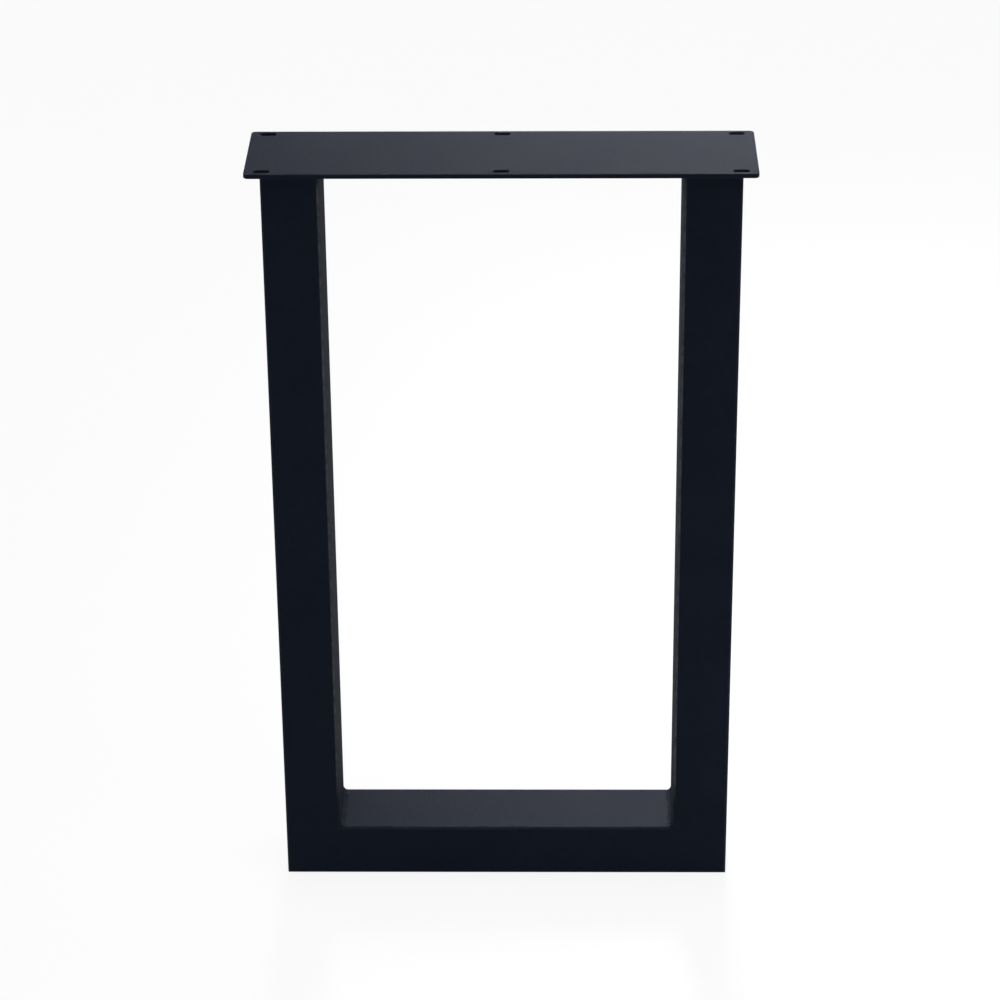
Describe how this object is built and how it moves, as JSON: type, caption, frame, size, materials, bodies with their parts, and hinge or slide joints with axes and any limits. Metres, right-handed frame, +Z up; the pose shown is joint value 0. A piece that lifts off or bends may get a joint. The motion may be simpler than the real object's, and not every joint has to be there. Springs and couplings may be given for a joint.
{
  "type": "u-shaped table leg",
  "caption": "U-shaped table leg welded from rectangular steel tube, with a flat slotted mounting plate across its top that screws under a table or bench top.",
  "frame": {"origin": "on the floor, under the middle of the frame", "axes": "+X across the frame, to the right in the picture; +Y to the back; +Z up to the table top"},
  "size_m": [0.435, 0.1, 0.71],
  "materials": {
    "black_powder_coat": "matt blue-black powder coat with a fine grain"
  },
  "bodies": {
    "root": {"bottom_rail": "black_powder_coat", "left_corner_weld": "black_powder_coat", "left_plate_weld": "black_powder_coat", "left_upright": "black_powder_coat", "right_corner_weld": "black_powder_coat", "right_plate_weld": "black_powder_coat", "right_upright": "black_powder_coat", "top_plate": "black_powder_coat"}
  },
  "joints": []
}
